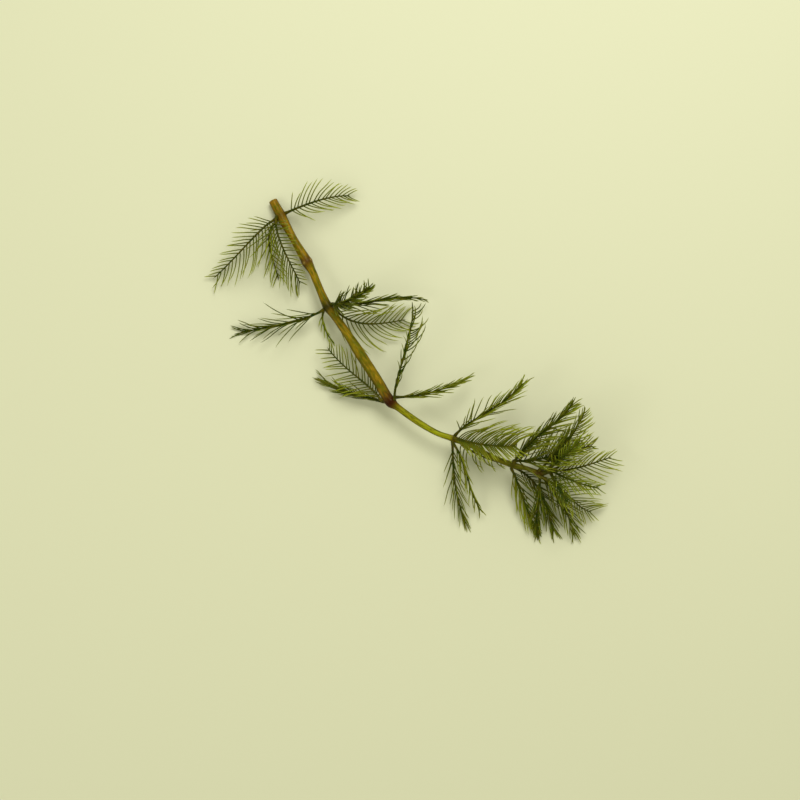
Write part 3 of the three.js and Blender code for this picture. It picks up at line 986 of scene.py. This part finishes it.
def addLeaflet(bm, arc, t, dark):
    first = len(bm.verts)
    bm.from_mesh(threadMesh)
    bm.verts.ensure_lookup_table()
    grown = bm.verts[first:]
    layers = bm.verts.layers.float
    fromStem, fromMidrib, darkness = layers["fromStem"], layers["fromMidrib"], layers["dark"]
    for vert in grown:
        vert[darkness] = min(threads["darkest"], max(0.0, dark))
        vert[fromStem] = t
        vert[fromMidrib] = mix(threads["colourStart"], 1, vert.co.z)
    leaflet, frames, reach = arc
    bendOnto(grown, leaflet, frames, leafletRadius)


def makeLeaf(name, facts, number, taken, ribs):
    bm = makeMidrib(ribs[name], facts["dark"])
    path = ribs[name]["path"]
    others = [entry for other, rib in ribs.items() if other != name for entry in rib["taken"]]
    tree, radii = crowd(taken + others)
    room = facts["pairs"] + threads["lastRoom"]
    for pair in range(facts["pairs"]):
        for half in (0, 1):  # left, right
            seed = number * threads["seedsPerLeaf"] + pair * 2 + half
            t = pair + threads["firstPlace"] + threads["rightLater"] * half
            t = (t + threads["placeStray"] * vary(seed, draws["place"])) / room
            if t < facts.get("bare", 0):
                continue
            arcs = [leafletArc(path, t, 1 - 2 * half, facts, pair, seed, turn) for turn in threads["turns"]]
            arc = next((arc for arc in arcs if isClear(arc[0], arc[2], tree, radii)), arcs[0])
            taken.extend((point, threads["base"]) for point in pointsOn(arc[0], arc[2]))
            dark = facts.get("darkRight", facts["dark"]) if half else facts["dark"]
            addLeaflet(bm, arc, t, dark + threads["darkStray"] * vary(seed, draws["dark"]))
    return saved(bm, name)


leafPaint = {
    "wetLeaf": {
        "rib": (56, 60, 6), "inner": (74, 83, 8), "outer": (112, 121, 18), "ends": (160, 168, 46),
        "deep": (12, 40, 2), "foot": (64, 60, 8), "patch": (104, 88, 14),
    },
    "wetYoungLeaf": {
        "rib": (60, 68, 6), "inner": (80, 94, 10), "outer": (118, 132, 24), "ends": (164, 173, 52),
        "deep": (16, 40, 2), "foot": (88, 80, 12), "patch": (108, 102, 18),
    },
    "along": (("rib", 0.0), ("inner", 0.06), ("outer", 0.45), ("ends", 1.0)),  # a leaflet, from the midrib
    "deepPower": (1.0, 2.2),  # how fast the deep green gives way at the midrib and at the ends
    "deepFading": (-0.22, 0.93),
    "footLength": 0.12,
    "footMost": 0.75,
    "patchAmount": 0.4,
    "patchScale": 700.0,
    "skin": {"Scale": 2600.0, "Wet": 0.22, "Dry": 0.5},
    "finish": {"gloss": 0.14, "water": 0.03, "glow": 0.1, "glowDepth": 0.2 * mm, "relief": 0.3,
               "reliefDepth": 0.05 * mm},
}


def makeLeafMaterial(name):
    tones = {part: tone(*shade) for part, shade in leafPaint[name].items()}
    paint = bpy.data.materials.new(name)
    paint.use_nodes = True
    tree = paint.node_tree
    stops = [(away, tones[part]) for part, away in leafPaint["along"]]
    colour = colourRamp(tree, ownValue(tree, "fromMidrib"), stops)
    power = rescale(tree, ownValue(tree, "fromMidrib"), 0.0, 1.0, *leafPaint["deepPower"])
    deepness = calculate(tree, "POWER", ownValue(tree, "dark"), power)
    fading = calculate(tree, "MULTIPLY_ADD", ownValue(tree, "fromMidrib"), *leafPaint["deepFading"])
    deepMask = calculate(tree, "MULTIPLY", deepness, fading, clamp=True)
    colour = blendColours(tree, deepMask, colour, tones["deep"])
    fromStem = ownValue(tree, "fromStem")
    footMask = rescale(tree, fromStem, 0.0, leafPaint["footLength"], leafPaint["footMost"], 0.0)
    colour = blendColours(tree, footMask, colour, tones["foot"])
    colour = useGroup(tree, mottle, {
        "Base": colour, "Patch": tones["patch"],
        "Amount": leafPaint["patchAmount"], "Scale": leafPaint["patchScale"],
    })["Color"]
    finishShader(tree, colour, leafPaint["skin"], leafPaint["finish"])
    return paint


makeCamera()
makeFloor()
makeLights()
print("camera and studio ready")

stemPiece = showPiece(makeStem(), "shoot_stem", "stem", makeStemMaterial())
print("stem grown:", len(stemPiece.data.polygons), "faces")

leafMaterials = {"leaf": makeLeafMaterial("wetLeaf"), "young_leaf": makeLeafMaterial("wetYoungLeaf")}
ribs = {name: makeRib(name, facts) for name, facts in leaves.items()}
stemSamples = 300
taken = [(stemPath(step / stemSamples), stemRadius(step / stemSamples)) for step in range(stemSamples + 1)]
for number, (name, facts) in enumerate(leaves.items(), start=1):
    slot = "young_leaf" if name in youngLeaves else "leaf"
    showPiece(makeLeaf(name, facts, number, taken, ribs), f"feathery_{name}", name, leafMaterials[slot])
print("leaves grown:", len(leaves))
